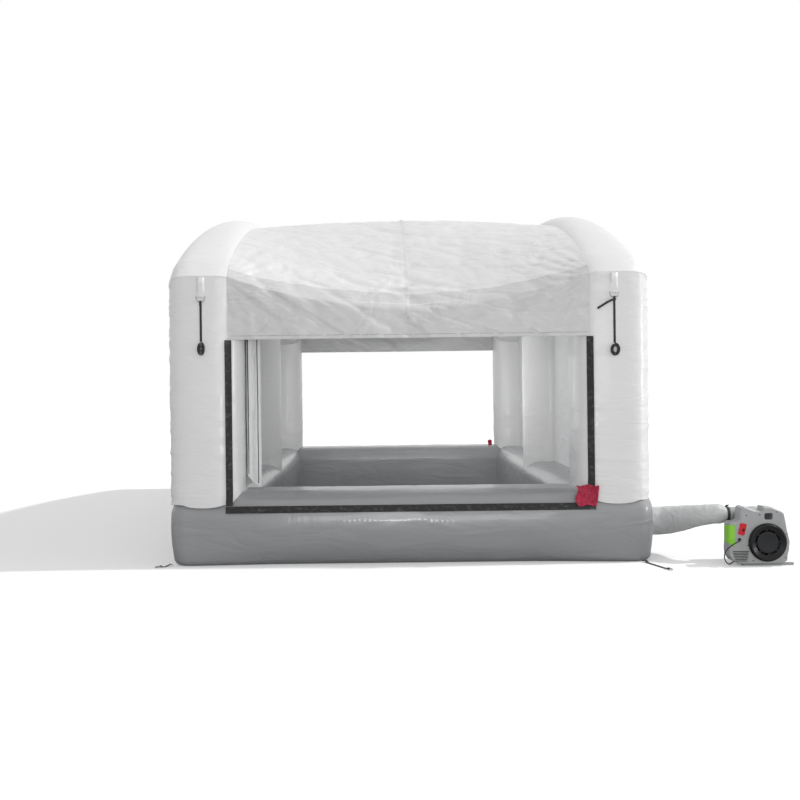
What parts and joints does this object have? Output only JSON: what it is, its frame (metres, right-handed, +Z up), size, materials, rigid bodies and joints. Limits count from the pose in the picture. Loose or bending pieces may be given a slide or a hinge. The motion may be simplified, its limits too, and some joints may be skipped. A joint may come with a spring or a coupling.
{
  "type": "inflatable paint booth",
  "caption": "Inflatable spray booth: grey air-filled base ring, white air posts and roof arches under a white canopy, open front and back, fed by an electric blower through an air sleeve.",
  "frame": {"origin": "centre of the booth's plan on the floor, at the underside of the floor sheet", "axes": "+Z up; the front opening faces -Y; +X to the right seen from the front, where the blower stands"},
  "size_m": [5.0924, 6.7746, 3.2536],
  "materials": {
    "white_fabric": "coated woven fabric, satin",
    "grey_fabric": "coated fabric, satin",
    "floor_fabric": "coated fabric",
    "curtain_fabric": "thin translucent fabric",
    "hook_strip": "hook and loop tape",
    "red_fabric": "woven tape",
    "pale_webbing": "sewn webbing",
    "black_webbing": "woven webbing",
    "ring_steel": "dull plated wire",
    "sleeve_fabric": "thin coated fabric",
    "housing_plastic": "moulded, satin",
    "black_plastic": "moulded",
    "red_plastic": "moulded",
    "motor_casing": "plain",
    "cord_sheath": "smooth"
  },
  "bodies": {
    "booth": {"air_duct": "sleeve_fabric", "anchor_strap_back_left": "black_webbing", "anchor_strap_back_right": "black_webbing", "anchor_strap_front_left": "black_webbing", "anchor_strap_front_right": "black_webbing", "back_hook_strip_left": "hook_strip", "back_hook_strip_right": "hook_strip", "back_hook_strip_sill": "hook_strip", "base_back": "grey_fabric", "base_front": "grey_fabric", "base_left": "grey_fabric", "base_right": "grey_fabric", "blower_inlet_shell": "housing_plastic", "blower_motor_shell": "housing_plastic", "cable_gland": "black_plastic", "cord_coil": "cord_sheath", "door_curtain": "curtain_fabric", "duct_clamp": "black_webbing", "floor_sheet": "floor_fabric", "front_hook_strip_left": "hook_strip", "front_hook_strip_right": "hook_strip", "front_hook_strip_sill": "hook_strip", "inlet_collar": "sleeve_fabric", "inlet_grille": "black_plastic", "motor": "motor_casing", "plug": "black_plastic", "post_back_left": "white_fabric", "post_back_right": "white_fabric", "post_front_left": "white_fabric", "post_front_right": "white_fabric", "post_middle_left": "white_fabric", "post_middle_right": "white_fabric", "power_cord": "cord_sheath", "pull_tag_back_right": "red_fabric", "pull_tag_front_right": "red_fabric", "ring_tab_left": "pale_webbing", "ring_tab_right": "pale_webbing", "roof_arch_left": "white_fabric", "roof_arch_right": "white_fabric", "roof_canopy": "white_fabric", "side_wall_left_back": "white_fabric", "side_wall_left_front": "white_fabric", "side_wall_right_back": "white_fabric", "side_wall_right_front": "white_fabric", "switch_plate": "red_plastic"},
    "fan": {"impeller": "black_plastic", "motor_shaft": "ring_steel"},
    "power_rocker": {"rocker": "black_plastic"},
    "ring_left": {"d_ring_left": "ring_steel"},
    "ring_right": {"d_ring_right": "ring_steel"},
    "strap_left": {"tie_strap_left": "black_webbing", "strap_coil_left": "black_webbing"},
    "strap_right": {"tie_strap_right": "black_webbing", "strap_coil_right": "black_webbing", "strap_tail_right": "black_webbing"},
    "peg_ring_front_left": {"anchor_ring_front_left": "ring_steel"},
    "peg_ring_front_right": {"anchor_ring_front_right": "ring_steel"},
    "peg_ring_back_left": {"anchor_ring_back_left": "ring_steel"},
    "peg_ring_back_right": {"anchor_ring_back_right": "ring_steel"}
  },
  "joints": [
    {"name": "fan_spin", "type": "hinge", "parent": "booth", "child": "fan", "pos_m": [2.793, -3.235, 0.187], "axis": [0, 1, 0], "continuous": true},
    {"name": "power_rock", "type": "hinge", "parent": "booth", "child": "power_rocker", "pos_m": [2.60524, -3.3298, 0.2857], "axis": [-0.9703, 0, 0.2419], "range_deg": [0, 16]},
    {"name": "ring_swing_left", "type": "hinge", "parent": "booth", "child": "ring_left", "pos_m": [-1.68, -3.12295, 2.19], "axis": [-1, 0, 0], "range_deg": [0, 80]},
    {"name": "strap_swing_left", "type": "hinge", "parent": "ring_left", "child": "strap_left", "pos_m": [-1.68, -3.12295, 2.149], "axis": [-1, 0, 0], "range_deg": [-80, 0]},
    {"name": "ring_swing_right", "type": "hinge", "parent": "booth", "child": "ring_right", "pos_m": [1.662, -3.12295, 2.19], "axis": [-1, 0, 0], "range_deg": [0, 80]},
    {"name": "strap_swing_right", "type": "hinge", "parent": "ring_right", "child": "strap_right", "pos_m": [1.662, -3.12295, 2.149], "axis": [-1, 0, 0], "range_deg": [-80, 0]},
    {"name": "peg_ring_lift_front_left", "type": "hinge", "parent": "booth", "child": "peg_ring_front_left", "pos_m": [-2.03089, -3.07448, 0.0072], "axis": [-0.4714, 0.8819, 0], "range_deg": [0, 100]},
    {"name": "peg_ring_lift_front_right", "type": "hinge", "parent": "booth", "child": "peg_ring_front_right", "pos_m": [1.98469, -3.40522, 0.0072], "axis": [-0.9569, -0.2903, 0], "range_deg": [0, 100]},
    {"name": "peg_ring_lift_back_left", "type": "hinge", "parent": "booth", "child": "peg_ring_back_left", "pos_m": [-2.00841, 3.26613, 0.0072], "axis": [0.8819, 0.4714, 0], "range_deg": [0, 100]},
    {"name": "peg_ring_lift_back_right", "type": "hinge", "parent": "booth", "child": "peg_ring_back_right", "pos_m": [2.00841, 3.26613, 0.0072], "axis": [0.8819, -0.4714, 0], "range_deg": [0, 100]}
  ],
  "couplings": [
    {"joint": "strap_swing_left", "follows": "ring_swing_left", "ratio": -1},
    {"joint": "strap_swing_right", "follows": "ring_swing_right", "ratio": -1}
  ]
}
